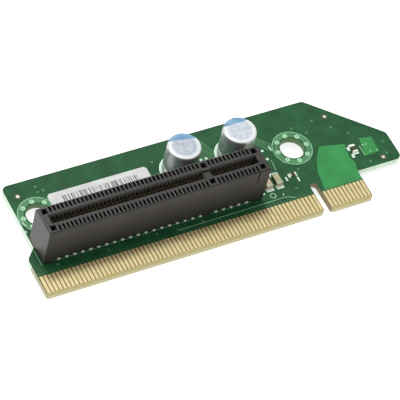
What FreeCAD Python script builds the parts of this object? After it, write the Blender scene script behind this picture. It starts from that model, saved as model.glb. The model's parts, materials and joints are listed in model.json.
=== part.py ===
"""PCI Express riser card: a x16 card edge carrying an upright x8 slot.

The board lies flat with its component side up.
X runs along the card edge, towards the bracket end.
Y runs from the card edge into the board.
Z points out of the component side.
The origin is on the component face, on the card edge, in the middle of the key notch.
All sizes are in millimetres.
"""
import FreeCAD, Part
import math
import os

from FreeCAD import Vector

# --- Board ---------------------------------------------------------------
BOARD_T = 1.57
BOARD_TOP_Y = 31.2
BOARD_LEFT_X = -69.6
BOARD_RIGHT_X = 24.5
SHOULDER_Y = 8.05           # edge of the board beside the short tongue
BEVELLED_CORNER = 15.1      # leg of the 45 degree cut at the bracket end
EAR_Y = (10.6, 13.2)        # the long tongue's outer edge leans back to the board's between these
CORNER_R = 1.5

# --- Card edge -----------------------------------------------------------
PITCH = 1.0
LONG_FINGERS = 71
SHORT_FINGERS = 11
NOTCH_W = 1.9
NOTCH_Y = 8.3
FIRST_FINGER_X = 1.5        # centre of the finger nearest the notch, on either side
TONGUE_MARGIN = 0.65        # from the last finger's centre to the tongue's side
TONGUE_CHAMFER = 0.5
BEVEL_ANGLE = 20.0
BEVEL_Y = 0.65
FINGER_W = 0.7
FINGER_Y = (BEVEL_Y, 5.6)
FINGER_T = 0.04

# --- Mounting holes ------------------------------------------------------
MOUNT_HOLE_R = 3.0
MOUNT_HOLES = ((-64.55, 21.35), (0.44, 19.25))

# --- x8 slot: housing ----------------------------------------------------
SLOT_KEY_X = -28.0          # middle of the slot's key rib
SLOT_Y = 11.9               # middle of the slot
LONG_CONTACTS = 38
SHORT_CONTACTS = 11
FIRST_CONTACT_X = 1.5       # centre of the contact nearest the key, on either side
HOUSING_END = 3.0           # from the last contact to the end of the housing
HOUSING_W = 7.5
HOUSING_H = 11.25
HOUSING_LIFT = 1.0          # underside above the board, between the feet
HOUSING_BEVEL = 0.3
FOOT_END = 2.5
FOOT_KEY = 2.2
MOUTH_W = 1.8
MOUTH_END = 1.25            # from the last contact to the end of the card slot
MOUTH_FLOOR_Z = 2.75
LEAD_IN = 0.35
KEY_RIB_W = 1.7
KEY_RIB_DROP = 0.5
CAVITY_W = 0.55
CAVITY_OUT = 3.4            # distances out from the middle of the slot
RIM_OUT = 2.0
RIM_Z = 10.2
POCKET_X = 1.3
POCKET_Y = (1.7, 3.05)
POCKET_DEPTH = 6.0
GROOVE_X = -16.3
GROOVE_W = 0.35
GROOVE_DEPTH = 0.25
GROOVE_LENGTH = 4.2
PEG_R = 1.1
PEG_HOLE_R = 1.175
PEG_TIP_Z = -2.3
PEG_END = 1.65              # from the last long contact to the outer peg

# --- x8 slot: contacts ---------------------------------------------------
CONTACT_W = 0.5
CONTACT_T = 0.2
TAIL_INNER = 1.25           # distances out from the middle of the slot
TAIL_OUTER = 3.25
TAIL_TIP_Z = -2.97
JOG_Z = 1.9
SPRING_ROOT_Z = 3.6
SPRING_TIP = (0.7, 9.3)     # leans into the slot, so that a card pushes it back

# --- Capacitors ----------------------------------------------------------
CAN_CENTRES = ((-28.3, 22.3), (-13.8, 22.3))
CAN_R = 4.0
CAN_TOP_Z = 8.95
CAN_BASE_Z = 0.35
CAN_EDGE_R = 0.55
CAN_EDGE_TURNS = (0, 45, 90)    # the rounded edge is laid out in two short slopes
CRIMP_Z = 1.9
CRIMP_DEPTH = 0.3
CRIMP_HALF_H = 0.35
BUNG_R = 3.45
BUNG_TOP_Z = 1.5
LEAD_R = 0.3
LEAD_SIDES = 8
LEAD_SPACING = 3.5
LEAD_TOP_Z = 1.0

# --- Chips: centre, length, width, height, end metal, and which way they lie ----
CHIPS = {
    "chip_capacitor_1": ((-10.4, 11.8), 3.2, 1.6, 1.1, 0.5, "Y"),
    "chip_capacitor_2": ((-7.75, 11.8), 3.2, 1.6, 1.1, 0.5, "Y"),
    "chip_resistor_1": ((-3.3, 12.1), 1.6, 0.85, 0.45, 0.3, "X"),
    "chip_resistor_2": ((14.4, 14.1), 2.0, 1.25, 0.5, 0.4, "Y"),
}
CHIP_METAL_T = 0.04

# --- Label ---------------------------------------------------------------
LABEL_X = (-60.6, -35.2)
LABEL_Y = (19.4, 25.8)
LABEL_T = 0.1
LABEL_CORNER = 0.6

# --- Worked out from the above -------------------------------------------
LONG_TONGUE_X = -(FIRST_FINGER_X + (LONG_FINGERS - 1) * PITCH + TONGUE_MARGIN)
SHORT_TONGUE_X = FIRST_FINGER_X + (SHORT_FINGERS - 1) * PITCH + TONGUE_MARGIN
LAST_LONG_X = SLOT_KEY_X - FIRST_CONTACT_X - (LONG_CONTACTS - 1) * PITCH
LAST_SHORT_X = SLOT_KEY_X + FIRST_CONTACT_X + (SHORT_CONTACTS - 1) * PITCH
HOUSING_X = (LAST_LONG_X - HOUSING_END, LAST_SHORT_X + HOUSING_END)
PEGS_X = (LAST_LONG_X - PEG_END, SLOT_KEY_X)
LONG_SIDE_X = [SLOT_KEY_X - FIRST_CONTACT_X - i * PITCH for i in range(LONG_CONTACTS)]
SHORT_SIDE_X = [SLOT_KEY_X + FIRST_CONTACT_X + i * PITCH for i in range(SHORT_CONTACTS)]
FRONT = -1                  # the side of the slot nearer the card edge
REAR = 1


# --- Shapes used by several pieces ---------------------------------------
def box(x, y, z):
    """A block between the low and high value along each axis."""
    low = Vector(x[0], y[0], z[0])
    return Part.makeBox(x[1] - x[0], y[1] - y[0], z[1] - z[0], low)


def rod(x, y, z, radius):
    """An upright round bar between two heights."""
    return Part.makeCylinder(radius, z[1] - z[0], Vector(x, y, z[0]))


def lead_wires(x, y, z):
    """A capacitor's two wires between two heights, each with eight flats standing for its round."""
    wires = []
    for middle in (x - LEAD_SPACING / 2, x + LEAD_SPACING / 2):
        corners = []
        for i in range(LEAD_SIDES + 1):
            angle = 2 * math.pi * (i + 0.5) / LEAD_SIDES
            corners.append(Vector(middle + LEAD_R * math.cos(angle), y + LEAD_R * math.sin(angle), z[0]))
        wires.append(Part.Face(Part.makePolygon(corners)).extrude(Vector(0, 0, z[1] - z[0])))
    return wires


def rounded_wire(corners, z):
    """A closed flat outline: each corner is (x, y, radius), with an arc where the radius isn't 0."""
    points = [Vector(x, y, z) for x, y, _ in corners]
    edges = []
    starts = []
    ends = []
    for i, (_, _, radius) in enumerate(corners):
        here = points[i]
        to_last = (points[i - 1] - here).normalize()
        to_next = (points[(i + 1) % len(points)] - here).normalize()
        half_angle = to_last.getAngle(to_next) / 2
        reach = radius / math.tan(half_angle)
        start = here + to_last * reach
        end = here + to_next * reach
        if radius:
            bisector = (to_last + to_next).normalize()
            middle = here + bisector * (radius / math.sin(half_angle) - radius)
            edges.append(Part.Arc(start, middle, end).toShape())
        starts.append(start)
        ends.append(end)
    for i in range(len(points)):
        a = ends[i]
        b = starts[(i + 1) % len(points)]
        if a.distanceToPoint(b) > 1e-6:
            edges.append(Part.makeLine(a, b))
    return Part.Wire(Part.__sortEdges__(edges))


def plate(corners, z):
    """A flat plate of the given outline between two heights."""
    return Part.Face(rounded_wire(corners, z[0])).extrude(Vector(0, 0, z[1] - z[0]))


def bar(profile, x):
    """A bar along X: its section is a list of (y, z) points."""
    points = [Vector(x[0], y, z) for y, z in profile]
    section = Part.Face(Part.makePolygon(points + points[:1]))
    return section.extrude(Vector(x[1] - x[0], 0, 0))


def strip_profile(centre_line, thickness):
    """The section of a bent strip: its centre line, offset half the thickness to each side."""
    sides = ([], [])
    last = len(centre_line) - 1
    for i, (y, z) in enumerate(centre_line):
        y0, z0 = centre_line[max(i - 1, 0)]
        y1, z1 = centre_line[min(i + 1, last)]
        before = math.atan2(z - z0, y - y0) if i else math.atan2(z1 - z, y1 - y)
        after = math.atan2(z1 - z, y1 - y) if i < last else before
        half_turn = (after - before) / 2
        normal = before + half_turn + math.pi / 2
        reach = thickness / 2 / math.cos(half_turn)
        for side, sign in zip(sides, (1, -1)):
            side.append((y + sign * reach * math.cos(normal), z + sign * reach * math.sin(normal)))
    return sides[0] + sides[1][::-1]


def save(name, shape):
    """Write one node and report its volume."""
    shape.exportStep("parts/%s.step" % name)
    print("%-28s %3d solids %9.2f mm3 valid %s" % (name, len(shape.Solids), shape.Volume, shape.isValid()))


# --- Board ---------------------------------------------------------------
def is_outer_tail(x):
    """Every second contact's tail goes to the outer row of holes."""
    return round((x - LAST_LONG_X) / PITCH) % 2 == 1


def tail_places(xs, side):
    """The board position of each contact's tail on one side of the slot."""
    return [(x, SLOT_Y + side * (TAIL_OUTER if is_outer_tail(x) else TAIL_INNER)) for x in xs]


def board_outline():
    """The outline, from the long tongue's outer corner, anticlockwise."""
    half_notch = NOTCH_W / 2
    cut = TONGUE_CHAMFER
    return [
        (LONG_TONGUE_X, cut, 0),
        (LONG_TONGUE_X + cut, 0, 0),
        (-half_notch - cut, 0, 0),
        (-half_notch, cut, 0),
        (-half_notch, NOTCH_Y, half_notch - 0.01),
        (half_notch, NOTCH_Y, half_notch - 0.01),
        (half_notch, cut, 0),
        (half_notch + cut, 0, 0),
        (SHORT_TONGUE_X - cut, 0, 0),
        (SHORT_TONGUE_X, cut, 0),
        (SHORT_TONGUE_X, SHOULDER_Y, cut),
        (BOARD_RIGHT_X, SHOULDER_Y, CORNER_R),
        (BOARD_RIGHT_X, BOARD_TOP_Y - BEVELLED_CORNER, CORNER_R),
        (BOARD_RIGHT_X - BEVELLED_CORNER, BOARD_TOP_Y, CORNER_R),
        (BOARD_LEFT_X, BOARD_TOP_Y, CORNER_R),
        (BOARD_LEFT_X, EAR_Y[1], 0.8),
        (LONG_TONGUE_X, EAR_Y[0], CORNER_R),
    ]


def edge_bevels():
    """The wedges cut from both faces along the card edge."""
    slope = math.tan(math.radians(BEVEL_ANGLE))
    over = 1.0
    x = (LONG_TONGUE_X - over, SHORT_TONGUE_X + over)
    y = (-over, BEVEL_Y + over)
    top = [(y[0], -(BEVEL_Y + over) * slope), (y[1], over * slope), (y[0], over * slope)]
    bottom = [(a, -BOARD_T - z) for a, z in top]
    return [bar(top, x), bar(bottom, x)]


def make_board():
    through = (-BOARD_T - 1, 1)
    board = plate(board_outline(), (-BOARD_T, 0))
    cutters = edge_bevels()
    for x, y in MOUNT_HOLES:
        cutters.append(rod(x, y, through, MOUNT_HOLE_R))
    for x in PEGS_X:
        cutters.append(rod(x, SLOT_Y, through, PEG_HOLE_R))
    # The solder in a lead's hole belongs to the board, so the hole is the lead's own section.
    for x, y in CAN_CENTRES:
        cutters += lead_wires(x, y, through)
    for xs in (LONG_SIDE_X, SHORT_SIDE_X):
        for side in (FRONT, REAR):
            for x, y in tail_places(xs, side):
                cutters.append(box((x - CONTACT_W / 2, x + CONTACT_W / 2),
                                   (y - CONTACT_T / 2, y + CONTACT_T / 2), through))
    return board.cut(Part.makeCompound(cutters))


def make_fingers(xs, z):
    """One gold pad per position, on the face at the given heights."""
    pads = [box((x - FINGER_W / 2, x + FINGER_W / 2), FINGER_Y, z) for x in xs]
    return Part.makeCompound(pads)


# --- Slot housing --------------------------------------------------------
def housing_body():
    """The moulded bar on its three feet, with the two pegs that locate it in the board."""
    half = HOUSING_W / 2
    bevel = HOUSING_BEVEL
    section = [
        (SLOT_Y - half, HOUSING_LIFT),
        (SLOT_Y + half, HOUSING_LIFT),
        (SLOT_Y + half, HOUSING_H - bevel),
        (SLOT_Y + half - bevel, HOUSING_H),
        (SLOT_Y - half + bevel, HOUSING_H),
        (SLOT_Y - half, HOUSING_H - bevel),
    ]
    body = bar(section, HOUSING_X)
    foot_y = (SLOT_Y - half, SLOT_Y + half)
    feet_x = (
        (HOUSING_X[0], HOUSING_X[0] + FOOT_END),
        (SLOT_KEY_X - FOOT_KEY / 2, SLOT_KEY_X + FOOT_KEY / 2),
        (HOUSING_X[1] - FOOT_END, HOUSING_X[1]),
    )
    feet = [box(x, foot_y, (0, HOUSING_LIFT)) for x in feet_x]
    pegs = [rod(x, SLOT_Y, (PEG_TIP_Z, HOUSING_LIFT), PEG_R) for x in PEGS_X]
    return body.fuse(feet + pegs).removeSplitter()


def card_slot():
    """The two lengths of slot either side of the key rib, with a flared mouth."""
    half = MOUTH_W / 2
    flare = half + LEAD_IN
    top = HOUSING_H + 1
    section = [
        (SLOT_Y - half, MOUTH_FLOOR_Z),
        (SLOT_Y + half, MOUTH_FLOOR_Z),
        (SLOT_Y + half, HOUSING_H - LEAD_IN),
        (SLOT_Y + flare, HOUSING_H),
        (SLOT_Y + flare, top),
        (SLOT_Y - flare, top),
        (SLOT_Y - flare, HOUSING_H),
        (SLOT_Y - half, HOUSING_H - LEAD_IN),
    ]
    ends = (LAST_LONG_X - MOUTH_END, LAST_SHORT_X + MOUTH_END)
    rib = (SLOT_KEY_X - KEY_RIB_W / 2, SLOT_KEY_X + KEY_RIB_W / 2)
    over_rib = box(rib, (SLOT_Y - half, SLOT_Y + half), (HOUSING_H - KEY_RIB_DROP, top))
    return [bar(section, (ends[0], rib[0])), bar(section, (rib[1], ends[1])), over_rib]


def contact_cavity(x, side):
    """One contact's cavity: open below, into the slot and, outside the rim, through the top."""
    inside = MOUTH_W / 2
    section = [
        (inside, HOUSING_LIFT - 1),
        (CAVITY_OUT, HOUSING_LIFT - 1),
        (CAVITY_OUT, HOUSING_H + 1),
        (RIM_OUT, HOUSING_H + 1),
        (RIM_OUT, RIM_Z),
        (inside, RIM_Z),
    ]
    placed = [(SLOT_Y + side * out, z) for out, z in section]
    return bar(placed, (x - CAVITY_W / 2, x + CAVITY_W / 2))


def core_pockets():
    """The six square pockets beside the slot's ends and its key."""
    middle = MOUTH_END + 0.25
    places = (LAST_LONG_X - middle, SLOT_KEY_X, LAST_SHORT_X + middle)
    depth = (HOUSING_H - POCKET_DEPTH, HOUSING_H + 1)
    pockets = []
    for x in places:
        for side in (FRONT, REAR):
            y = sorted(SLOT_Y + side * out for out in POCKET_Y)
            pockets.append(box((x - POCKET_X / 2, x + POCKET_X / 2), y, depth))
    return pockets


def make_housing():
    cutters = card_slot() + core_pockets()
    for x in LONG_SIDE_X + SHORT_SIDE_X:
        for side in (FRONT, REAR):
            cutters.append(contact_cavity(x, side))
    front_y = SLOT_Y - HOUSING_W / 2
    cutters.append(box((GROOVE_X - GROOVE_W / 2, GROOVE_X + GROOVE_W / 2),
                       (front_y - 1, front_y + GROOVE_DEPTH),
                       (HOUSING_H - GROOVE_LENGTH, HOUSING_H + 1)))
    return housing_body().cut(Part.makeCompound(cutters))


# --- Slot contacts -------------------------------------------------------
def contact_line(x):
    """A contact's centre line, as (distance out from the slot's middle, z), from the tail up."""
    if is_outer_tail(x):
        return [(TAIL_OUTER, TAIL_TIP_Z), (TAIL_OUTER, JOG_Z), (TAIL_INNER, JOG_Z), SPRING_TIP]
    return [(TAIL_INNER, TAIL_TIP_Z), (TAIL_INNER, SPRING_ROOT_Z), SPRING_TIP]


def make_contacts(xs, side):
    """The row of sprung contacts on one side of one length of the slot."""
    contacts = []
    for x in xs:
        section = strip_profile(contact_line(x), CONTACT_T)
        placed = [(SLOT_Y + side * out, z) for out, z in section]
        contacts.append(bar(placed, (x - CONTACT_W / 2, x + CONTACT_W / 2)))
    return Part.makeCompound(contacts)


# --- Capacitors ----------------------------------------------------------
def make_can(x, y):
    """The sealed aluminium can: a rolled crimp near its foot, and a recess for the bung."""
    wall = [
        (0, CAN_TOP_Z),
        (0, BUNG_TOP_Z),
        (BUNG_R, BUNG_TOP_Z),
        (BUNG_R, CAN_BASE_Z),
        (CAN_R, CAN_BASE_Z),
        (CAN_R, CRIMP_Z - CRIMP_HALF_H),
        (CAN_R - CRIMP_DEPTH, CRIMP_Z),
        (CAN_R, CRIMP_Z + CRIMP_HALF_H),
    ]
    for turn in CAN_EDGE_TURNS:
        angle = math.radians(turn)
        wall.append((CAN_R - CAN_EDGE_R * (1 - math.cos(angle)),
                     CAN_TOP_Z - CAN_EDGE_R * (1 - math.sin(angle))))
    points = [Vector(r, 0, z) for r, z in wall]
    section = Part.Face(Part.makePolygon(points + points[:1]))
    can = section.revolve(Vector(0, 0, 0), Vector(0, 0, 1), 360)
    can.translate(Vector(x, y, 0))
    return can


def make_bung(x, y):
    """The rubber bung that closes the can and stands on the board, with a hole for each lead."""
    bung = rod(x, y, (0, BUNG_TOP_Z), BUNG_R)
    return bung.cut(make_leads(x, y))


def make_leads(x, y):
    """The capacitor's two leads, from inside the bung to below the board."""
    return Part.makeCompound(lead_wires(x, y, (TAIL_TIP_Z, LEAD_TOP_Z)))


# --- Chips ---------------------------------------------------------------
def chip_box(chip, inset, along=None):
    """A block the size of a chip, shrunk by the metal's thickness, over all or part of its length."""
    (x, y), length, width, height, _, lies = chip
    half = length / 2 - inset
    along = along or (-half, half)
    across = (-width / 2 + inset, width / 2 - inset)
    z = (inset, height - inset)
    if lies == "X":
        return box((x + along[0], x + along[1]), (y + across[0], y + across[1]), z)
    return box((x + across[0], x + across[1]), (y + along[0], y + along[1]), z)


def make_chip_ends(chip):
    """The metal cap over each end of a chip."""
    length = chip[1]
    metal = chip[4]
    body = chip_box(chip, CHIP_METAL_T)
    ends = []
    for along in ((-length / 2, -length / 2 + metal), (length / 2 - metal, length / 2)):
        ends.append(chip_box(chip, 0, along).cut(body))
    return Part.makeCompound(ends)


def make_label():
    """The paper label stuck on the board behind the slot."""
    cut = LABEL_CORNER
    corners = []
    for x, inwards_x in zip(LABEL_X, (1, -1)):
        for y, inwards_y in zip(LABEL_Y, (1, -1)):
            ends = [(x, y + inwards_y * cut, 0), (x + inwards_x * cut, y, 0)]
            corners.append(ends if inwards_x == inwards_y else ends[::-1])
    low_left, top_left, low_right, top_right = corners
    return plate(low_left + low_right + top_right + top_left, (0, LABEL_T))


# --- The whole card ------------------------------------------------------
os.makedirs("parts", exist_ok=True)
save("circuit_board", make_board())

long_x = [-(FIRST_FINGER_X + i * PITCH) for i in range(LONG_FINGERS)]
short_x = [FIRST_FINGER_X + i * PITCH for i in range(SHORT_FINGERS)]
component_face = (0, FINGER_T)
solder_face = (-BOARD_T - FINGER_T, -BOARD_T)
save("fingers_component_long", make_fingers(long_x, component_face))
save("fingers_component_short", make_fingers(short_x, component_face))
save("fingers_solder_long", make_fingers(long_x, solder_face))
save("fingers_solder_short", make_fingers(short_x, solder_face))

save("slot_housing", make_housing())
for side_name, side in (("front", FRONT), ("rear", REAR)):
    save("contacts_%s_long" % side_name, make_contacts(LONG_SIDE_X, side))
    save("contacts_%s_short" % side_name, make_contacts(SHORT_SIDE_X, side))

for number, (can_x, can_y) in enumerate(CAN_CENTRES, 1):
    save("capacitor_%d_can" % number, make_can(can_x, can_y))
    save("capacitor_%d_bung" % number, make_bung(can_x, can_y))
    save("capacitor_%d_leads" % number, make_leads(can_x, can_y))

for chip_name, chip_size in CHIPS.items():
    save("%s_body" % chip_name, chip_box(chip_size, CHIP_METAL_T))
    save("%s_ends" % chip_name, make_chip_ends(chip_size))

save("barcode_label", make_label())
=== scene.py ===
"""The looks of a server riser card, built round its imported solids.

Lengths are in millimetres, and become metres where a mesh is made.
"""

import json

import bmesh
import bpy
from mathutils import Matrix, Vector
import numpy as np


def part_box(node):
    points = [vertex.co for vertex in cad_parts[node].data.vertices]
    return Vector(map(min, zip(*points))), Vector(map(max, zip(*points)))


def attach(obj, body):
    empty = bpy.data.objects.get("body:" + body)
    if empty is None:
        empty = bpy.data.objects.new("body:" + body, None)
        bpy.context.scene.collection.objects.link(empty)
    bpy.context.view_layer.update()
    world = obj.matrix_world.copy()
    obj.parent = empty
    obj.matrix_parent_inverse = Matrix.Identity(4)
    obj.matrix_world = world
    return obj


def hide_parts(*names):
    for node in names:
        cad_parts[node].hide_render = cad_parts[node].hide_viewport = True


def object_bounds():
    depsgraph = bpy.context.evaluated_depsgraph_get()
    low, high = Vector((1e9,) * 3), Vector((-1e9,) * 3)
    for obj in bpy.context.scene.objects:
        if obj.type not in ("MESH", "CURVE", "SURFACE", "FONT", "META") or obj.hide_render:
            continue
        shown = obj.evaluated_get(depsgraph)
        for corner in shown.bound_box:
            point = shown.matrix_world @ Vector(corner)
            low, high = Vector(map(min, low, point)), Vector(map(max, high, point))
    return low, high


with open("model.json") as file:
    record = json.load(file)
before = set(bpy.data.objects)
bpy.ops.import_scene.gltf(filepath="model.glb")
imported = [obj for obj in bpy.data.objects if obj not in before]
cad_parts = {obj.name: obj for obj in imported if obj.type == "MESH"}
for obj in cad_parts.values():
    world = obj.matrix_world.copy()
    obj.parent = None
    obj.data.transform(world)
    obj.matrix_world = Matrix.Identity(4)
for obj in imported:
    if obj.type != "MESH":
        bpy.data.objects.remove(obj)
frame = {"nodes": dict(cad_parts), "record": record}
solid_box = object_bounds()
nodes = frame["nodes"]


# ---------------------------------------------------------------------------
# Circuit board. Glass cloth in epoxy, 1.57 mm thick, cut to its outline, with green solder
# mask over the copper on both faces. The mask stops short of the card edge, whose bevels and
# cut sides show the bare laminate.
# ---------------------------------------------------------------------------
def colour(red, green, blue):
    """A screen colour of 0 to 255 as linear light, which is what a shader takes."""
    level = np.array([red, green, blue]) / 255
    linear = np.where(level <= 0.04045, level / 12.92, ((level + 0.055) / 1.055) ** 2.4)
    return (*linear.tolist(), 1.0)


def add(tree, kind, inputs=None, **settings):
    """A shader node with its settings, and with each input given a value or joined to a socket."""
    made = tree.nodes.new("ShaderNode" + kind)
    for name, value in settings.items():
        setattr(made, name, value)
    for name, value in (inputs or {}).items():
        if isinstance(value, bpy.types.NodeSocket):
            tree.links.new(value, made.inputs[name])
        else:
            made.inputs[name].default_value = value
    return made


def mixed(tree, share, first, second):
    """The first colour where the share is 0 and the second where it is 1."""
    blend = add(tree, "Mix", {0: share, 6: first, 7: second}, data_type="RGBA")
    return blend.outputs[2]


def math(tree, operation, *values):
    """The result of one sum on one, two or three values."""
    return add(tree, "Math", dict(enumerate(values)), operation=operation).outputs[0]


def new_group(name, inputs, outputs):
    """An empty node group with named inputs and outputs: (name, kind, starting value)."""
    group = bpy.data.node_groups.new(name, "ShaderNodeTree")
    for label, kind, start in inputs:
        socket = group.interface.new_socket(label, in_out="INPUT", socket_type="NodeSocket" + kind)
        if start is not None:
            socket.default_value = start
    for label, kind in outputs:
        group.interface.new_socket(label, in_out="OUTPUT", socket_type="NodeSocket" + kind)
    return group, group.nodes.new("NodeGroupInput").outputs, group.nodes.new("NodeGroupOutput").inputs


def make_cloudy():
    """Two close colours in soft patches, with a finer speckle over them."""
    group, given, result = new_group(
        "cloudy colour",
        [("Colour", "Color", None), ("Shade", "Color", None), ("Patches per Metre", "Float", 200.0)],
        [("Colour", "Color"), ("Share", "Float")])
    place = add(group, "TexCoord").outputs["Object"]
    patches = add(group, "TexNoise", {"Vector": place, "Scale": given["Patches per Metre"], "Detail": 5.0})
    share = add(group, "MapRange", {0: patches.outputs["Fac"], 1: 0.35, 2: 0.65}).outputs[0]
    group.links.new(mixed(group, share, given["Colour"], given["Shade"]), result["Colour"])
    group.links.new(share, result["Share"])
    return group


def make_grain():
    """A fine even roughness as a height for a bump."""
    group, given, result = new_group(
        "fine grain", [("Grains per Metre", "Float", 3000.0)], [("Height", "Float")])
    place = add(group, "TexCoord").outputs["Object"]
    grains = add(group, "TexNoise", {"Vector": place, "Scale": given["Grains per Metre"], "Detail": 2.0})
    group.links.new(grains.outputs["Fac"], result["Height"])
    return group


CLOUDY = make_cloudy()
GRAIN = make_grain()


def new_finish(name, roughness, metallic=0.0, **sockets):
    """A material with an empty Principled shader: (material, node tree, shader)."""
    material = bpy.data.materials.new(name)
    material.use_nodes = True
    shader = material.node_tree.nodes["Principled BSDF"]
    shader.inputs["Roughness"].default_value = roughness
    shader.inputs["Metallic"].default_value = metallic
    for socket, value in sockets.items():
        shader.inputs[socket.replace("_", " ")].default_value = value
    return material, material.node_tree, shader


def cloud(tree, base, shade, patches):
    """A placed cloudy colour: its colour and its share."""
    placed = add(tree, "Group", node_tree=CLOUDY)
    placed.inputs["Colour"].default_value = base
    placed.inputs["Shade"].default_value = shade
    placed.inputs["Patches per Metre"].default_value = patches
    return placed.outputs["Colour"], placed.outputs["Share"]


def bump(tree, shader, height, depth):
    """Lets a height of 0 to 1 dent the surface by the given depth in millimetres."""
    dent = add(tree, "Bump", {"Height": height, "Distance": depth / 1000, "Strength": 1.0})
    tree.links.new(dent.outputs["Normal"], shader.inputs["Normal"])


def grain(tree, shader, per_metre, depth):
    """Puts the fine grain on a shader."""
    placed = add(tree, "Group", {"Grains per Metre": per_metre}, node_tree=GRAIN)
    bump(tree, shader, placed.outputs["Height"], depth)


def plain_finish(name, base, shade, roughness, patches=300.0, metallic=0.0, grains=4000.0, depth=0.004,
                 **sockets):
    """A finish of one cloudy colour with a fine grain."""
    material, tree, shader = new_finish(name, roughness, metallic, **sockets)
    tree.links.new(cloud(tree, base, shade, patches)[0], shader.inputs["Base Color"])
    grain(tree, shader, grains, depth)
    return material


def coat(names, material):
    """Gives CAD nodes their material."""
    for name in names:
        nodes[name].material_slots[0].material = material


MASK_LINE = 5.45            # the solder mask's edge, up from the card edge
MASK_GREEN = colour(32, 92, 52)
MASK_SHADE = colour(24, 76, 42)
LAMINATE = colour(140, 127, 82)
LAMINATE_SHADE = colour(124, 110, 68)
# painted shade: the bare laminate darkens towards the mask, standing in for the slot housing's shadow
PAINTED_SHADE_BY_MASK = colour(86, 80, 40)
DARKENS_FROM = 2.5          # the painted shade of the slot housing runs up the bare laminate, from here to the mask's edge
CARD_EDGE = colour(196, 190, 152)
CARD_EDGE_TOP = 0.2
BEVEL = colour(190, 177, 124)
BEVEL_TOP = 0.66
TONGUE_SIDE = colour(176, 174, 140)
CUT_EDGE = colour(222, 240, 222)
CUT_EDGE_SHADE = colour(204, 226, 204)
# painted shade on the walls of the notch in the card edge
NOTCH_WALL_SHADE = colour(150, 138, 108)
NOTCH_REACH = 1.1
TONGUE_TOP = 8.6            # the cut sides are darker up to here
# painted shade on the walls of the two mounting holes
BORE_WALL_SHADE = colour(104, 134, 92)
BORE_REACH = 3.15           # farther out from a mounting hole's middle than its wall
CLOTH_PITCH = 0.45
CLOTH_DEPTH = 0.003
UPRIGHT_PART = 0.8          # a face looks up or down if its normal's upright part is more
LEFT_PART = -0.3            # and looks left if its normal's part along X is less
MOUNTS = [np.array(mount["pos_m"][:2]) * 1000
          for mount in frame["record"]["mounts"] if mount["kind"] == "bore"]


def board_finish():
    """Mask where a face looks up or down and is above the mask line, and bare laminate elsewhere.

    The bare laminate between the fingers darkens towards the mask, a painted shade of the slot
    housing; the cut edges are paler; the walls of the notch are darker, a painted shade; and the
    walls of the two mounting holes are darker, a painted shade in the bores.
    """
    material, tree, shader = new_finish("solder mask and laminate", 0.55, Specular_IOR_Level=0.25)
    place = add(tree, "TexCoord").outputs["Object"]
    part = add(tree, "SeparateXYZ", {0: place})
    facing = add(tree, "SeparateXYZ", {0: add(tree, "NewGeometry").outputs["Normal"]})
    flat = math(tree, "GREATER_THAN", math(tree, "ABSOLUTE", facing.outputs["Z"]), UPRIGHT_PART)
    above = math(tree, "GREATER_THAN", part.outputs["Y"], MASK_LINE / 1000)
    masked = math(tree, "MULTIPLY", flat, above)
    green = cloud(tree, MASK_GREEN, MASK_SHADE, 260.0)[0]
    bare = cloud(tree, LAMINATE, LAMINATE_SHADE, 1500.0)[0]
    # painted shade of the slot housing, darkening the bare laminate towards the mask
    rise = add(tree, "MapRange", {0: part.outputs["Y"], 1: DARKENS_FROM / 1000,
                                  2: MASK_LINE / 1000}).outputs[0]
    bare = mixed(tree, rise, bare, PAINTED_SHADE_BY_MASK)
    bare = mixed(tree, math(tree, "LESS_THAN", part.outputs["Y"], BEVEL_TOP / 1000), bare, BEVEL)
    cut = cloud(tree, CUT_EDGE, CUT_EDGE_SHADE, 900.0)[0]
    on_tongue = math(tree, "LESS_THAN", part.outputs["Y"], TONGUE_TOP / 1000)
    from_notch = math(tree, "ABSOLUTE", part.outputs["X"])
    # painted shade: the notch's walls are darkened, as they lie in shadow
    in_notch_shade = math(tree, "MULTIPLY", math(tree, "LESS_THAN", from_notch, NOTCH_REACH / 1000), on_tongue)
    looks_left = math(tree, "LESS_THAN", facing.outputs["X"], LEFT_PART)
    cut = mixed(tree, math(tree, "MULTIPLY", looks_left, on_tongue), cut, TONGUE_SIDE)
    cut = mixed(tree, in_notch_shade, cut, NOTCH_WALL_SHADE)
    at_edge = math(tree, "LESS_THAN", part.outputs["Y"], CARD_EDGE_TOP / 1000)
    cut = mixed(tree, at_edge, cut, CARD_EDGE)
    # painted shade in the mounting holes, darkening their walls
    for mount in MOUNTS:
        middle = (mount[0] / 1000, mount[1] / 1000, 0.0)
        level = add(tree, "VectorMath", {0: place, 1: (1.0, 1.0, 0.0)}, operation="MULTIPLY")
        reach = add(tree, "VectorMath", {0: level.outputs[0], 1: middle}, operation="DISTANCE")
        inside = math(tree, "LESS_THAN", reach.outputs["Value"], BORE_REACH / 1000)
        cut = mixed(tree, inside, cut, BORE_WALL_SHADE)
    colours = mixed(tree, flat, cut, mixed(tree, masked, bare, green))
    tree.links.new(colours, shader.inputs["Base Color"])
    threads = 2 * np.pi / (CLOTH_PITCH / 1000)
    across = math(tree, "SINE", math(tree, "MULTIPLY", part.outputs["X"], threads))
    along = math(tree, "SINE", math(tree, "MULTIPLY", part.outputs["Y"], threads))
    weave = math(tree, "MULTIPLY_ADD", math(tree, "MULTIPLY", across, along), 0.5, 0.5)
    bump(tree, shader, weave, CLOTH_DEPTH)
    return material


coat(["circuit_board"], board_finish())
board_low = np.array(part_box("circuit_board")[0]) * 1000


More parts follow.
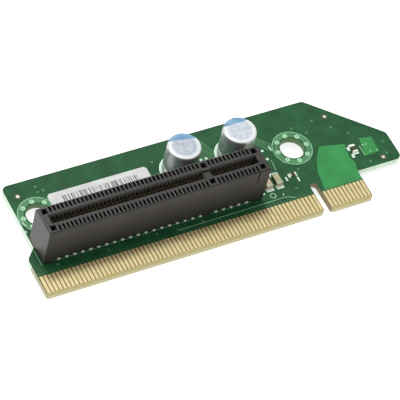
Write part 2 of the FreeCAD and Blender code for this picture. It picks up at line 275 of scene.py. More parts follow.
# ---------------------------------------------------------------------------
# Copper under the mask. Etched tracks, plated holes and lands round the mounting holes, pale
# green through the mask, and three bare sight marks for the placing machine. Where no plane of
# copper lies inside the board, light comes through it and it looks a brighter green.
# ---------------------------------------------------------------------------
def place_mesh(name, points, faces, material):
    """A mesh of points in millimetres that rides on the card."""
    mesh = bpy.data.meshes.new(name)
    mesh.from_pydata(np.asarray(points, float) / 1000, [], faces)
    mesh.materials.append(material)
    mesh.update()
    made = bpy.data.objects.new(name, mesh)
    bpy.context.scene.collection.objects.link(made)
    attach(made, "root")
    return made


def sheets(name, grids, material, round_=False, smooth=False):
    """Grids of points, shaped (copies, steps along, steps across, 3), as one mesh of squares.

    Each square joins a point to the next one along and the next one across, counted so that
    its face looks towards along x across. A round grid closes on itself along its first way.
    """
    grids = np.asarray(grids, float)
    copies, along, across, _ = grids.shape
    index = np.arange(copies * along * across).reshape(copies, along, across)
    if round_:
        index = np.concatenate([index, index[:, :1]], axis=1)
    corners = [index[:, :-1, :-1], index[:, 1:, :-1], index[:, 1:, 1:], index[:, :-1, 1:]]
    faces = np.stack(corners, axis=-1).reshape(-1, 4)
    made = place_mesh(name, grids.reshape(-1, 3), faces.tolist(), material)
    welded = bmesh.new()
    welded.from_mesh(made.data)
    bmesh.ops.remove_doubles(welded, verts=welded.verts, dist=1e-7)
    welded.to_mesh(made.data)
    welded.free()
    made.data.polygons.foreach_set("use_smooth", np.full(len(made.data.polygons), smooth))
    return made


def tracks(paths, width, height):
    """Flat strips along bent lines of equal point counts.

    Each point moves out along the mean of its two sides' normals, by half the width over the
    cosine of half the turn, so that a strip keeps its width round a bend.
    """
    paths = np.asarray(paths, float)
    step = np.diff(paths, axis=1)
    step /= np.linalg.norm(step, axis=2, keepdims=True)
    normal = np.stack([-step[..., 1], step[..., 0]], axis=-1)
    before = np.concatenate([normal[:, :1], normal], axis=1)
    after = np.concatenate([normal, normal[:, -1:]], axis=1)
    out = before + after
    out *= width / (out ** 2).sum(axis=2, keepdims=True)
    sides = np.stack([paths - out, paths + out], axis=2)
    level = np.full(sides.shape[:-1] + (1,), height)
    return np.concatenate([sides, level], axis=-1)


def rings(centres, inner, outer, height, turn=(0, 360), steps=32):
    """Flat rings, or parts of rings: each point is at a radius and an angle about its centre."""
    angle = np.radians(np.linspace(turn[0], turn[1], steps + 1))[None, :, None]
    radius = np.array([outer, inner])[None, None, :]
    centres = np.asarray(centres, float)
    x = centres[:, 0, None, None] + radius * np.cos(angle)
    y = centres[:, 1, None, None] + radius * np.sin(angle)
    return np.stack([x, y, np.full_like(x, height)], axis=-1)[:, :, ::-1]


WINDOW_HEIGHT = 0.008
COPPER_HEIGHT = 0.016
PAD_HEIGHT = 0.024
WINDOWS = [
    [(1.8, 5.5), (12.3, 5.5), (11.9, 7.0), (12.9, 10.5), (12.4, 12.2), (12.7, 15.0), (13.2, 16.2),
     (6.8, 17.6), (4.4, 14.2), (2.9, 10.9), (2.4, 8.0)],
    [(16.3, 11.5), (20.0, 11.6), (20.4, 16.1), (17.3, 16.7)],
]
window_finish = plain_finish("mask over bare laminate", colour(56, 150, 80), colour(48, 136, 70), 0.55,
                             patches=240.0, Specular_IOR_Level=0.25)
window_points = [(x, y, WINDOW_HEIGHT) for window in WINDOWS for x, y in window]
window_faces = [range(len(WINDOWS[0])), range(len(WINDOWS[0]), len(window_points))]
place_mesh("mask_windows", window_points, window_faces, window_finish)

TRACK_W = 0.22
TRACK_PITCH = 0.5
track_finish = plain_finish("mask over copper", colour(96, 156, 108), colour(84, 142, 96), 0.5,
                            patches=400.0, Specular_IOR_Level=0.3)


def bundle(start, count, points, spacing=(TRACK_PITCH, 0.0)):
    """Like tracks side by side: the first one's points, and how far each next one is moved."""
    first = np.array(start) + np.concatenate([[(0, 0)], np.cumsum(points, axis=0)])
    return first[None] + np.arange(count)[:, None, None] * np.array(spacing)


between_cans = bundle((-24.6, 29.2), 8, [(3.8, -8.7), (0, -1.9), (0, -1.9)], (0.62, 0.1))
beside_can = bundle((-10.6, 28.6), 4, [(1.2, -2.7), (2.6, -3.4), (2.2, -2.6)], (0.45, 0.35))
to_slot_end = bundle((-12.6, 19.6), 4, [(0, -2.4), (2.0, -2.0), (0, -2.2)])
LONG_FINGERS = np.arange(-71.5, -1.0)
SHORT_FINGERS = np.arange(1.5, 12.0)
FAN_UNDER = 0.15            # a finger's track starts this far below the mask's edge
FAN_RISE = 0.35             # the shorter ones go this far above it before they lean
FAN_LEAN = 0.3
fan_x = np.concatenate([LONG_FINGERS, SHORT_FINGERS])
fan_up = np.where(np.arange(len(fan_x)) % 2, 1.0, 1.7)
fan_out = np.stack([
    np.stack([fan_x, np.full_like(fan_x, MASK_LINE - FAN_UNDER)], axis=-1),
    np.stack([fan_x, MASK_LINE + FAN_RISE * fan_up], axis=-1),
    np.stack([fan_x - FAN_LEAN, MASK_LINE + FAN_RISE * fan_up + FAN_LEAN], axis=-1),
], axis=1)
four_point = np.concatenate([between_cans, beside_can, to_slot_end])
sheets("long_tracks", tracks(four_point, TRACK_W, COPPER_HEIGHT), track_finish)
fan_finish = plain_finish("mask over narrow copper", colour(68, 122, 80), colour(58, 110, 70), 0.5,
                          patches=400.0, Specular_IOR_Level=0.3)
sheets("finger_tracks", tracks(fan_out, TRACK_W, COPPER_HEIGHT), fan_finish)

LAND_OUTER = 4.72
LAND_INNER = 3.4
land_finish = plain_finish("mask over a land", colour(84, 142, 98), colour(74, 130, 88), 0.5,
                           patches=500.0, Specular_IOR_Level=0.3)
sheets("mount_lands", rings(MOUNTS, LAND_INNER, LAND_OUTER, COPPER_HEIGHT, steps=72), land_finish)

LAND_VIA_OUT = 3.8
LAND_VIA_R = 0.6
LAND_VIA_BORE_R = 0.13
VIA_R = 0.3
VIA_BORE_R = 0.11
LAP = 0.01                  # a bore's dark disc reaches this far under its ring
land_vias = [centre + LAND_VIA_OUT * np.array([np.cos(a), np.sin(a)])
             for centre in MOUNTS for a in np.radians(np.arange(0, 360, 45))]
VIAS = [(-62.1, 27.2), (-60.7, 27.3), (-62.0, 28.8), (-66.4, 16.6), (-34.0, 21.4), (-33.2, 26.4),
        (-23.4, 26.9), (-20.0, 17.0), (-11.3, 27.6), (-7.9, 26.1), (-6.9, 18.3), (-4.9, 21.3),
        (-9.2, 19.9), (-10.6, 17.4), (-3.4, 16.1), (-1.2, 13.2), (-4.2, 8.4), (3.1, 24.6),
        (5.9, 22.3), (8.8, 25.1), (12.4, 21.9), (15.6, 19.0), (22.3, 13.9), (21.6, 10.6),
        (16.6, 9.6), (-13.6, 8.7), (-12.5, 9.4), (-29.6, 7.1), (-41.4, 7.2), (-53.8, 6.9),
        (-66.4, 7.1)]
WINDOW_DOTS = [(17.93, 14.56), (18.08, 12.34), (17.06, 14.57), (19.79, 12.04)]
WINDOW_DOT_R = 0.2
via_finish = plain_finish("solder in a plated hole", colour(172, 226, 180), colour(156, 214, 166), 0.35,
                          patches=900.0)
# painted shade: a dark disc in each via stands in for the shadowed inside of its hole
bore_shade_finish = plain_finish("dark bore", colour(40, 70, 48), colour(30, 52, 36), 0.6)
sheets("land_vias", rings(land_vias, LAND_VIA_BORE_R - LAP, LAND_VIA_R, PAD_HEIGHT, steps=20),
       via_finish)
sheets("land_via_bores", rings(land_vias, 0.0, LAND_VIA_BORE_R, PAD_HEIGHT, steps=10), bore_shade_finish)
sheets("window_dots", rings(WINDOW_DOTS, 0.0, WINDOW_DOT_R, PAD_HEIGHT, steps=12), via_finish)
sheets("board_vias", rings(VIAS, VIA_BORE_R - LAP, VIA_R, PAD_HEIGHT, steps=14), track_finish)
sheets("board_via_bores", rings(VIAS, 0.0, VIA_BORE_R, PAD_HEIGHT, steps=8), bore_shade_finish)

SIGHTS = [(-66.98, 27.52), (12.46, 25.22), (20.18, 9.74)]
SIGHT_R = 0.4
OPENING_R = 0.8
sight_finish = plain_finish("bare tinned copper", colour(240, 234, 206), colour(226, 220, 192), 0.35,
                            metallic=0.3)
opening_finish = plain_finish("opening in the mask", colour(66, 86, 56), colour(56, 76, 48), 0.6)
sheets("sight_marks", rings(SIGHTS, 0.0, SIGHT_R, PAD_HEIGHT, steps=24), sight_finish)
sheets("sight_openings", rings(SIGHTS, SIGHT_R, OPENING_R, COPPER_HEIGHT, steps=28), opening_finish)


# ---------------------------------------------------------------------------
# Card edge fingers. Copper pads plated with nickel and hard gold, 71 and 11 on each face,
# wiped dull by sliding in and out of a slot.
# ---------------------------------------------------------------------------
FINGER_END = 5.32           # the mask lies over the fingers' roots above here


def gold_finish():
    """Gold, and mask colour over the root of each finger."""
    material, tree, shader = new_finish("hard gold", 0.42, 0.2)
    rise = add(tree, "SeparateXYZ", {0: add(tree, "TexCoord").outputs["Object"]}).outputs["Y"]
    root = math(tree, "GREATER_THAN", rise, FINGER_END / 1000)
    gold = cloud(tree, colour(225, 207, 154), colour(212, 193, 139), 700.0)[0]
    tree.links.new(mixed(tree, root, gold, MASK_GREEN), shader.inputs["Base Color"])
    grain(tree, shader, 4000.0, 0.004)
    return material


coat(["fingers_component_long", "fingers_component_short", "fingers_solder_long",
      "fingers_solder_short"], gold_finish())


# ---------------------------------------------------------------------------
# Slot housing. One moulding of black glass-filled plastic, slightly matt, with the faint
# upright lines that the moulding tool leaves between its cavities.
# ---------------------------------------------------------------------------
CAVITY_PITCH = 1.0
# painted light on the ribs inside the mouth, which stand lit between the dark cavities
MOUTH_RIB_LIGHT = colour(104, 101, 86)
MOUTH_HALF = 1.6            # from the middle of the slot to beyond its flared mouth
RIB_TOP = 10.9
NOTCH_SHADE_SPAN = (1.72, 2.25)      # painted shade: a black stripe at each cavity lengthens its notch on the rim, between these distances from the middle of the slot
NOTCH_SHADE_FLOOR = 11.0        # the painted stripes are above this height
AT_RIB = 0.1                # the ripple is 1 at a rib's middle and -1 at a cavity's
AT_CAVITY = -0.15
LOOKS_UP = 0.5              # a face looks up if its normal's upright part is more
RIPPLE_DEPTH = 0.006
# the colour of the painted shade on the rim
NOTCH_SHADE_BLACK = colour(16, 15, 14)
housing_low, housing_high = (np.array(corner) * 1000 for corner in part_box("slot_housing"))


def housing_finish():
    """Black plastic whose bump is a fine grain plus an upright ripple, one wave to a cavity.

    Inside the mouth the ribs between the cavities are painted paler and browner, a painted light
    in the same upright waves, and on the rim a black stripe at each cavity is painted shade that
    lengthens the notch.
    """
    material, tree, shader = new_finish("black moulding", 0.42, Specular_IOR_Level=0.4)
    place = add(tree, "SeparateXYZ", {0: add(tree, "TexCoord").outputs["Object"]})
    black = cloud(tree, colour(57, 55, 53), colour(49, 47, 46), 120.0)[0]
    middle = float(housing_low[1] + housing_high[1]) / 2000
    off_middle = math(tree, "ABSOLUTE", math(tree, "SUBTRACT", place.outputs["Y"], middle))
    in_mouth = math(tree, "MULTIPLY", math(tree, "LESS_THAN", off_middle, MOUTH_HALF / 1000),
                    math(tree, "LESS_THAN", place.outputs["Z"], RIB_TOP / 1000))
    facing = add(tree, "SeparateXYZ", {0: add(tree, "NewGeometry").outputs["Normal"]})
    in_mouth = math(tree, "MULTIPLY", in_mouth, math(tree, "LESS_THAN", facing.outputs["Z"], LOOKS_UP))
    ripple = math(tree, "COSINE", math(tree, "MULTIPLY", place.outputs["X"], 2000 * np.pi / CAVITY_PITCH))
    # painted light: the ribs inside the mouth are made paler and browner
    rib_light = math(tree, "MULTIPLY", math(tree, "GREATER_THAN", ripple, AT_RIB), in_mouth)
    black = mixed(tree, rib_light, black, MOUTH_RIB_LIGHT)
    # painted shade: black stripes on the rim stand in for the shadow of longer notches
    off_edge = math(tree, "MULTIPLY", math(tree, "GREATER_THAN", off_middle, NOTCH_SHADE_SPAN[0] / 1000),
                    math(tree, "LESS_THAN", off_middle, NOTCH_SHADE_SPAN[1] / 1000))
    notch_shade = math(tree, "MULTIPLY", math(tree, "LESS_THAN", ripple, AT_CAVITY), off_edge)
    on_rim = math(tree, "GREATER_THAN", place.outputs["Z"], NOTCH_SHADE_FLOOR / 1000)
    notch_shade = math(tree, "MULTIPLY", notch_shade, on_rim)
    tree.links.new(mixed(tree, notch_shade, black, NOTCH_SHADE_BLACK), shader.inputs["Base Color"])
    wave = math(tree, "SINE", math(tree, "MULTIPLY", place.outputs["X"], 2000 * np.pi / CAVITY_PITCH))
    grains = add(tree, "Group", {"Grains per Metre": 5000.0}, node_tree=GRAIN).outputs["Height"]
    bump(tree, shader, math(tree, "MULTIPLY_ADD", wave, 0.5, grains), RIPPLE_DEPTH)
    return material


coat(["slot_housing"], housing_finish())


# ---------------------------------------------------------------------------
# Slot contacts. Stamped from spring bronze and plated, gold where they touch and tin on the
# tails. Each stands in its own cavity and goes through the board.
# ---------------------------------------------------------------------------
CONTACT_HALF_W = 0.25
TAIL_INNER = 1.25           # the two rows of tails, out from the middle of the slot
TAIL_OUTER = 3.25
TIN_TOP = 1.9               # the tails are tinned up to here
TIN = colour(246, 252, 244)


def contact_finish():
    """Bronze inside the slot, and bright tin on the tails."""
    material, tree, shader = new_finish("plated spring bronze", 0.5)
    rise = add(tree, "SeparateXYZ", {0: add(tree, "TexCoord").outputs["Object"]}).outputs["Z"]
    on_tail = math(tree, "LESS_THAN", rise, TIN_TOP / 1000)
    bronze = cloud(tree, colour(128, 118, 88), colour(108, 100, 72), 900.0)[0]
    tree.links.new(mixed(tree, on_tail, bronze, TIN), shader.inputs["Base Color"])
    grain(tree, shader, 4000.0, 0.004)
    return material


CONTACT_ROWS = ["contacts_front_long", "contacts_front_short", "contacts_rear_long",
                "contacts_rear_short"]
coat(CONTACT_ROWS, contact_finish())


# ---------------------------------------------------------------------------
# Solder. It climbs every tail on both faces of the board in a small cone, left by the wave
# the board was passed over, and is painted near-white, a painted highlight for its glints.
# ---------------------------------------------------------------------------
LEAD_R = 0.3
LEAD_SPACING = 3.5
PLATING = 0.012             # a solder cone starts this far off the board's face
LAND_R = 0.62
LAND_OFF = 0.008            # a land below lies this far off the board's face


def turned(centres, profile, steps=16):
    """Round shapes about upright axes: each point is a profile's radius out, at its height."""
    profile = np.asarray(profile, float)
    angle = np.linspace(0, 2 * np.pi, steps, endpoint=False)[None, :, None]
    centres = np.asarray(centres, float)
    x = centres[:, 0, None, None] + profile[:, 0] * np.cos(angle)
    y = centres[:, 1, None, None] + profile[:, 0] * np.sin(angle)
    return np.stack([x, y, np.broadcast_to(profile[:, 1], x.shape)], axis=-1)


def cone_profile(base, top, foot, climb, points=5):
    """A hollow-sided cone: radius falls with the sine of a quarter turn as height grows with
    one less its cosine."""
    turn = np.linspace(0, np.pi / 2, points)
    slope = np.stack([base - (base - top) * np.sin(turn), foot + climb * (1 - np.cos(turn))], axis=-1)
    return np.concatenate([slope, [(0.0, foot + climb)]])


first_tail_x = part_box("contacts_front_long")[0][0] * 1000 + CONTACT_HALF_W


def tail_places():
    """Where the tails stand: each row's contacts are 1 mm apart, at the slot's two tail rows."""
    middle_y = (housing_low[1] + housing_high[1]) / 2
    places = []
    for row in CONTACT_ROWS:
        low, high = (np.array(corner) * 1000 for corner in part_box(row))
        x = np.arange(low[0] + CONTACT_HALF_W, high[0], CAVITY_PITCH)
        side = np.sign((low[1] + high[1]) / 2 - middle_y)
        outer = np.round(x - first_tail_x).astype(int) % 2 == 1
        y = middle_y + side * np.where(outer, TAIL_OUTER, TAIL_INNER)
        places.append(np.stack([x, y], axis=-1))
    return np.concatenate(places)


tails = tail_places()
leads = np.array([[low[0] * 1000 + LEAD_R, (low[1] + high[1]) * 500] for low, high in
                  (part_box("capacitor_1_leads"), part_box("capacitor_2_leads"))])
leads = np.concatenate([leads, leads + (LEAD_SPACING, 0)])
# painted highlight: the solder's colour is near-white, standing in for its glints as well as its own colour
solder_and_glint_finish = plain_finish("solder", colour(253, 255, 251), colour(247, 252, 246), 0.4,
                             patches=1500.0)
bottom = board_low[2]
sheets("tail_solder_above", turned(tails, cone_profile(0.43, 0.3, PLATING, 1.05), 12), solder_and_glint_finish,
       round_=True, smooth=True)
sheets("tail_solder_below", turned(tails, cone_profile(0.55, 0.2, bottom - PLATING, -0.9)[::-1], 12),
       solder_and_glint_finish, round_=True, smooth=True)
sheets("lead_solder_below", turned(leads, cone_profile(0.85, 0.3, bottom - PLATING, -1.0)[::-1], 20),
       solder_and_glint_finish, round_=True, smooth=True)
lands_below = rings(tails, 0.0, LAND_R, 0.0, steps=12) * (1, 1, 0) + (0, 0, bottom - LAND_OFF)
sheets("tail_lands_below", lands_below, solder_and_glint_finish)


# ---------------------------------------------------------------------------
# Capacitors. A drawn aluminium can, crimped in near its foot over a rubber bung, satin down
# its side with a painted highlight on its rounded edge, and printed pale on top with a blue
# segment that marks one lead.
# ---------------------------------------------------------------------------
CAN_EDGE_R = 0.55
CRIMP_Z = 1.9
CRIMP_HALF_H = 0.5
CRIMP_DEPTH = 0.3
FOOT_R = 0.2                # of the rolled foot
FOOT_IN = 0.5               # how far the foot's flat reaches in
FLAT_RINGS = (0.62, 1.2)    # two rings on the flat top, in from the side
EDGE_FADE = (0.18, 0.03)    # metal turns to the painted highlight of the edge and the top's finish between these depths
DISC_FADE = (0.3, 1.4)      # and the pale print comes up between these, in from the side
BLUE_DEPTH = 0.45           # the blue runs this far down over the edge
METAL_SHARE = 0.75
TOP_METAL_SHARE = 0.15
CAN_TOPS = {                # where the blue begins, its turn, and the pale colour and its shade
    "capacitor_1": (1.8, 9.5, colour(198, 205, 212), colour(172, 182, 192)),
    "capacitor_2": (2.05, -1.0, colour(214, 221, 226), colour(188, 198, 207)),
}


def can_profile(radius, base, top):
    """Foot to top: a rolled foot, the side with a smooth crimp, the rounded edge and the flat top."""
    quarter = np.linspace(0, np.pi / 2, 7)
    foot = np.stack([radius - FOOT_R + FOOT_R * np.sin(quarter),
                     base + FOOT_R - FOOT_R * np.cos(quarter)], axis=-1)
    z = np.linspace(CRIMP_Z - CRIMP_HALF_H, CRIMP_Z + CRIMP_HALF_H, 13)
    in_crimp = np.cos((z - CRIMP_Z) / CRIMP_HALF_H * np.pi / 2) ** 2
    crimp = np.stack([radius - CRIMP_DEPTH * in_crimp, z], axis=-1)
    edge = np.stack([radius - CAN_EDGE_R * (1 - np.cos(quarter)),
                     top - CAN_EDGE_R * (1 - np.sin(quarter))], axis=-1)
    flat = [(radius - inset, top) for inset in FLAT_RINGS] + [(0.0, top)]
    return np.concatenate([[(radius - FOOT_IN, base)], foot, crimp, edge, flat])


def can_finish(name, centre, radius, top):
    """Satin metal with a painted highlight on the rounded edge, and a pale top that is blue beyond a line.
    """
    blue_from, turn, pale_ink, pale_shade = CAN_TOPS[name]
    material, tree, shader = new_finish(name + " aluminium", 0.34)
    middle = add(tree, "Mapping", {"Vector": add(tree, "TexCoord").outputs["Object"],
                                   "Location": (-centre[0] / 1000, -centre[1] / 1000, 0)})
    turned_place = add(tree, "Mapping", {"Vector": middle.outputs[0],
                                         "Rotation": (0, 0, np.radians(turn))})
    local = add(tree, "SeparateXYZ", {0: turned_place.outputs[0]})
    level = add(tree, "VectorMath", {0: middle.outputs[0], 1: (1.0, 1.0, 0.0)}, operation="MULTIPLY")
    reach = add(tree, "VectorMath", {0: level.outputs[0]}, operation="LENGTH").outputs["Value"]
    on_top = add(tree, "MapRange", {0: local.outputs["Z"], 1: (top - EDGE_FADE[0]) / 1000,
                                    2: (top - EDGE_FADE[1]) / 1000}).outputs[0]
    near_top = math(tree, "GREATER_THAN", local.outputs["Z"], (top - BLUE_DEPTH) / 1000)
    blue = math(tree, "MULTIPLY", near_top,
                math(tree, "GREATER_THAN", local.outputs["Y"], blue_from / 1000))
    inward = add(tree, "MapRange", {0: reach, 1: (radius - DISC_FADE[0]) / 1000,
                                    2: (radius - DISC_FADE[1]) / 1000}).outputs[0]
    disc = math(tree, "MULTIPLY", on_top, inward)
    metal = cloud(tree, colour(214, 216, 216), colour(196, 199, 200), 500.0)[0]
    # painted highlight: the rounded edge is near-white, standing in for the reflection of the sky
    edge = mixed(tree, on_top, metal, colour(244, 247, 247))
    pale = cloud(tree, pale_ink, pale_shade, 1100.0)[0]
    ink = cloud(tree, colour(150, 188, 214), colour(96, 146, 184), 500.0)[0]
    tree.links.new(mixed(tree, blue, mixed(tree, disc, edge, pale), ink), shader.inputs["Base Color"])
    share = math(tree, "MULTIPLY_ADD", on_top, TOP_METAL_SHARE - METAL_SHARE, METAL_SHARE)
    tree.links.new(share, shader.inputs["Metallic"])
    streaks = add(tree, "Mapping", {"Vector": middle.outputs[0], "Scale": (1.0, 1.0, 0.04)})
    drawn = add(tree, "TexNoise", {"Vector": streaks.outputs[0], "Scale": 3500.0, "Detail": 3.0})
    bump(tree, shader, drawn.outputs["Fac"], 0.004)
    return material


for name in CAN_TOPS:
    low, high = (np.array(corner) * 1000 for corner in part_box(name + "_can"))
    centre = (low + high)[:2] / 2
    radius = (high[0] - low[0]) / 2
    can = sheets(name + "_shell", turned([centre], can_profile(radius, low[2], high[2]), 96),
                 can_finish(name, centre, radius, high[2]), round_=True, smooth=True)
    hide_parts(name + "_can")

coat(["capacitor_1_bung", "capacitor_2_bung"],
     plain_finish("bung rubber", colour(40, 40, 40), colour(30, 30, 30), 0.7))
coat(["capacitor_1_leads", "capacitor_2_leads"], solder_and_glint_finish)


# ---------------------------------------------------------------------------
# Chip parts. Fired ceramic blocks with tinned ends, soldered flat on pairs of lands. The two
# large ones are capacitors of a beige body, and the two small ones resistors with a dark glaze.
# The capacitors' bodies have painted shade on their sides, and their ends painted light on theirs.
# ---------------------------------------------------------------------------
def ceramic_finish(name, upper, upper_shade, side):
    """A body whose top is one colour and whose sides another: painted shade on the capacitors' bodies,
    painted light on their ends.
    """
    material, tree, shader = new_finish(name, 0.5)
    facing = add(tree, "SeparateXYZ", {0: add(tree, "NewGeometry").outputs["Normal"]})
    up = math(tree, "GREATER_THAN", facing.outputs["Z"], 0.7)
    tree.links.new(mixed(tree, up, side, cloud(tree, upper, upper_shade, 900.0)[0]),
                   shader.inputs["Base Color"])
    grain(tree, shader, 5000.0, 0.004)
    return material


# painted shade: the dark side colour stands in for shadow on the body's sides
coat(["chip_capacitor_1_body"],
     ceramic_finish("pink ceramic", colour(206, 184, 160), colour(188, 164, 138), colour(84, 62, 36)))
# painted shade: the dark side colour stands in for shadow on the body's sides
coat(["chip_capacitor_2_body"],
     ceramic_finish("beige ceramic", colour(194, 186, 150), colour(170, 162, 124), colour(70, 52, 24)))
coat(["chip_resistor_1_body", "chip_resistor_2_body"],
     ceramic_finish("dark glaze", colour(58, 52, 34), colour(40, 34, 20), colour(78, 74, 56)))
# painted light: the tinned ends' sides are paler than their tops, standing in for the light on them
capacitor_ends_painted_light = ceramic_finish("tinned capacitor ends", colour(182, 198, 176), colour(168, 184, 160),
                                colour(214, 192, 152))
resistor_ends = ceramic_finish("tinned resistor ends", colour(236, 244, 226), colour(222, 232, 212),
                               colour(226, 230, 204))
CHIPS = {                   # the solder's reach and climb, and the land's reach, beyond each end
    "chip_capacitor_1": (0.12, 0.12, 0.75),
    "chip_capacitor_2": (0.12, 0.12, 0.75),
    "chip_resistor_1": (0.15, 0.3, 0.3),
    "chip_resistor_2": (0.15, 0.3, 0.5),
}
coat(["chip_capacitor_1_ends", "chip_capacitor_2_ends"], capacitor_ends_painted_light)
coat(["chip_resistor_1_ends", "chip_resistor_2_ends"], resistor_ends)


FILLET_FOOT = 0.03          # the fillet starts this far above the board
LAND_BESIDE = 0.12          # a land is wider than its chip by this at each side
LAND_UNDER = 0.3            # and reaches this far under it


def end_fillet(low, high, axis, end, reach, climb):
    """Solder at one end of a chip: a hollow slope from the land up the end, across its width.

    Distance out from the end falls with the sine of a quarter turn as height grows with one
    less its cosine.
    """
    turn = np.linspace(0, np.pi / 2, 6)
    out = reach * (1 - np.sin(turn))
    z = FILLET_FOOT + climb * (1 - np.cos(turn))
    along = (high[axis] + out) if end > 0 else (low[axis] - out)
    across = np.array([low[1 - axis], high[1 - axis]])
    if (end > 0) == (axis == 0):
        across = across[::-1]
    grid = np.empty((2, len(turn), 3))
    grid[..., axis] = along[None, :]
    grid[..., 1 - axis] = across[:, None]
    grid[..., 2] = z[None, :]
    return grid


fillets = []
lands = []
for name, (reach, climb, land_reach) in CHIPS.items():
    low, high = (np.array(corner) * 1000 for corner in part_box(name + "_ends"))
    axis = 0 if high[0] - low[0] > high[1] - low[1] else 1
    for end in (-1, 1):
        fillets.append(end_fillet(low, high, axis, end, reach, climb))
        middle = np.array([(low[0] + high[0]) / 2, (low[1] + high[1]) / 2])
        half = (high[1 - axis] - low[1 - axis]) / 2 + LAND_BESIDE
        along = np.array([0.0, 1.0]) if axis else np.array([1.0, 0.0])
        far = (high[axis] - low[axis]) / 2
        line = [middle + along * end * (far - LAND_UNDER), middle + along * end * (far + land_reach)]
        lands.append((line, half * 2))
sheets("chip_solder", fillets, solder_and_glint_finish, smooth=True)
land_tin = plain_finish("tinned land", colour(242, 255, 246), colour(232, 250, 238), 0.4,
                        patches=1200.0)
sheets("chip_lands", np.concatenate([tracks([line], width, PAD_HEIGHT) for line, width in lands]),
       land_tin)


# ---------------------------------------------------------------------------
# Screen print. White ink laid on the mask through a screen: the outlines of the parts, a
# filled half ring beside each capacitor, and corner marks beside the chips.
# ---------------------------------------------------------------------------
INK_HEIGHT = 0.034
CAN_RING = (4.3, 4.5)
CAN_HALF_RING = (3.6, 4.55)
MOUNT_RING = (4.72, 4.92)
TEST_RING = (0.5, 0.78)
DOT_R = 0.36
ink_finish = plain_finish("white ink", colour(218, 244, 226), colour(206, 236, 216), 0.6, patches=900.0)
thin_ink_finish = plain_finish("thin ink", colour(150, 208, 164), colour(130, 188, 144), 0.6, patches=900.0)
can_centres = []
for name in CAN_TOPS:
    low, high = (np.array(corner) * 1000 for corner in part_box(name + "_can"))
    can_centres.append((low + high)[:2] / 2)
sheets("capacitor_rings", rings(can_centres, *CAN_RING, INK_HEIGHT, (-90, 90), 40), ink_finish)
sheets("capacitor_half_rings", rings(can_centres, *CAN_HALF_RING, INK_HEIGHT, (90, 270), 40), ink_finish)
sheets("mount_rings", rings(MOUNTS, *MOUNT_RING, INK_HEIGHT, steps=80), thin_ink_finish)


def lines(name, paths, width, finish):
    """Printed lines, each with its own number of points."""
    for number, path in enumerate(paths):
        sheets(name + "_" + str(number + 1), tracks([path], width, INK_HEIGHT), finish)


lines("slot_outline", [[(-69.9, 12.6), (-69.9, 8.15)], [(-69.7, 8.34), (-13.2, 8.34)]], 0.14,
      thin_ink_finish)
lines("edge_line", [[(-36.4, 6.9), (-35.8, 6.55), (-12.7, 6.76), (-8.8, 6.88), (-7.3, 6.7), (-5.8, 5.98)]],
      0.17, thin_ink_finish)
lines("slot_end_line", [[(-6.06, 17.7), (-6.15, 16.8), (-6.44, 14.6)]], 0.17, thin_ink_finish)
lines("mount_tick", [[(-4.73, 21.6), (-4.61, 20.3)], [(-69.18, 20.6), (-68.6, 18.75)],
                     [(-69.46, 18.1), (-69.3, 17.5)]], 0.34, ink_finish)
lines("small_tick", [[(-8.0, 7.95), (-8.14, 7.42)]], 0.2, ink_finish)
lines("chip_bar", [[(-5.2, 10.9), (-5.18, 12.1)], [(-2.5, 9.95), (-2.46, 11.25)]], 0.42, ink_finish)
lines("chip_mark", [[(13.24, 14.05), (13.24, 15.15)], [(13.34, 11.8), (13.34, 12.85)]], 0.68, ink_finish)
lines("chip_line", [[(16.2, 11.6), (16.24, 14.6)]], 0.2, thin_ink_finish)
DOTS = [(-21.93, 23.22), (-20.56, 23.21), (-6.82, 20.83), (-6.78, 18.25), (-12.5, 9.35), (-13.58, 8.5)]
sheets("print_dots", rings(DOTS, 0.0, DOT_R, INK_HEIGHT, steps=20), ink_finish)
sheets("test_ring", rings([(-10.55, 8.15)], *TEST_RING, INK_HEIGHT, steps=32), thin_ink_finish)


# ---------------------------------------------------------------------------
# Label. Coated white paper stuck on the board behind the slot, with a plain row of bars.
# ---------------------------------------------------------------------------
coat(["barcode_label"], plain_finish("coated paper", colour(220, 222, 219), colour(206, 207, 206), 0.5,
                                     patches=260.0))
label_low, label_high = (np.array(corner) * 1000 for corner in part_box("barcode_label"))
BARS = 33
BAR_STEPS = [0.4, 0.55, 0.8]
BAR_WIDTHS = [0.12, 0.2, 0.3]
BAR_MARGINS = (2.6, 0.6, 1.4)   # bare paper left of, below and above the bars
BAR_RISE = 0.01
bar_rng = np.random.default_rng(7)
bar_x = label_low[0] + BAR_MARGINS[0] + np.cumsum(bar_rng.choice(BAR_STEPS, BARS))
bar_w = bar_rng.choice(BAR_WIDTHS, BARS)
bar_foot, bar_head = label_low[1] + BAR_MARGINS[1], label_high[1] - BAR_MARGINS[2]
bar_lines = [tracks([[(x, bar_foot), (x, bar_head)]], w, label_high[2] + BAR_RISE)
             for x, w in zip(bar_x, bar_w)]
bar_finish = plain_finish("bar ink", colour(96, 94, 96), colour(80, 78, 80), 0.5)
sheets("label_bars", np.concatenate(bar_lines), bar_finish)


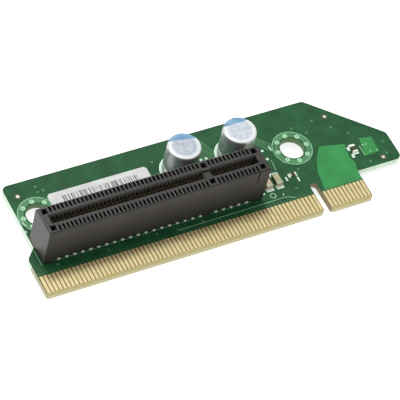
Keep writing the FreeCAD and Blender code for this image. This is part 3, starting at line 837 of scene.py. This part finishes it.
# ---------------------------------------------------------------------------
# Studio. A pale table just under the tails, itself lit so that no shadow shows on it, soft
# light from the left and a small lamp high behind, and a camera at the left front.
# ---------------------------------------------------------------------------
FLOOR_GAP = 0.02
FLOOR_HALF = 4              # metres
floor_z = (solid_box[0][2] * 1000 - FLOOR_GAP) / 1000
floor_corners = [(x * FLOOR_HALF, y * FLOOR_HALF, floor_z) for x, y in ((-1, -1), (1, -1), (1, 1), (-1, 1))]
floor_mesh = bpy.data.meshes.new("floor")
floor_mesh.from_pydata(floor_corners, [], [(0, 1, 2, 3)])
floor = bpy.data.objects.new("floor", floor_mesh)
floor_mesh.materials.append(plain_finish("pale floor", colour(205, 205, 204), colour(202, 202, 201), 0.9,
                                         patches=4.0, depth=0.0, Emission_Color=colour(255, 255, 255),
                                         Emission_Strength=0.8))
bpy.context.scene.collection.objects.link(floor)

AIM = np.array([-27.46, 12.75, 0.0]) / 1000
DISTANCE = 0.648
HEADING = -129.23           # direction from the card to the camera, from +X, in degrees
ELEVATION = 50.74
ROLL = 15.75
LENS = 254.2


def direction(heading, elevation):
    """The unit vector at an angle round from +X and an angle up."""
    heading, elevation = np.radians([heading, elevation])
    return np.array([np.cos(heading) * np.cos(elevation), np.sin(heading) * np.cos(elevation),
                     np.sin(elevation)])


def look(made, place, target, roll=0.0):
    """Puts an object at a place so that it looks at a target, turned by a roll about its view."""
    back = (place - target) / np.linalg.norm(place - target)
    right = np.cross((0, 0, 1), back)
    right /= np.linalg.norm(right)
    up = np.cross(back, right)
    roll = np.radians(roll)
    axes = np.array([right * np.cos(roll) + up * np.sin(roll), up * np.cos(roll) - right * np.sin(roll),
                     back]).T
    matrix = np.eye(4)
    matrix[:3, :3] = axes
    matrix[:3, 3] = place
    made.matrix_world = Matrix(matrix.tolist())


def lamp(name, heading, elevation, distance, size, power):
    """A square soft light that looks at the card."""
    light = bpy.data.lights.new(name, "AREA")
    light.size = size
    light.energy = power
    made = bpy.data.objects.new(name, light)
    bpy.context.scene.collection.objects.link(made)
    look(made, AIM + distance * direction(heading, elevation), AIM)


lamp("side", 160.0, 35.0, 1.0, 0.6, 1.9)
lamp("rear", 87.0, 68.0, 1.2, 0.2, 7.9)

world = bpy.data.worlds.new("studio")
world.use_nodes = True
world.node_tree.nodes["Background"].inputs["Color"].default_value = (1.0, 1.0, 1.0, 1.0)
world.node_tree.nodes["Background"].inputs["Strength"].default_value = 0.5
bpy.context.scene.world = world
bpy.context.scene.view_settings.view_transform = "Standard"

camera_data = bpy.data.cameras.new("camera")
camera_data.lens = LENS
camera_data.sensor_width = 36.0
camera_data.clip_end = 20.0
camera = bpy.data.objects.new("camera", camera_data)
bpy.context.scene.collection.objects.link(camera)
look(camera, AIM + DISTANCE * direction(HEADING, ELEVATION), AIM, ROLL)
bpy.context.scene.camera = camera
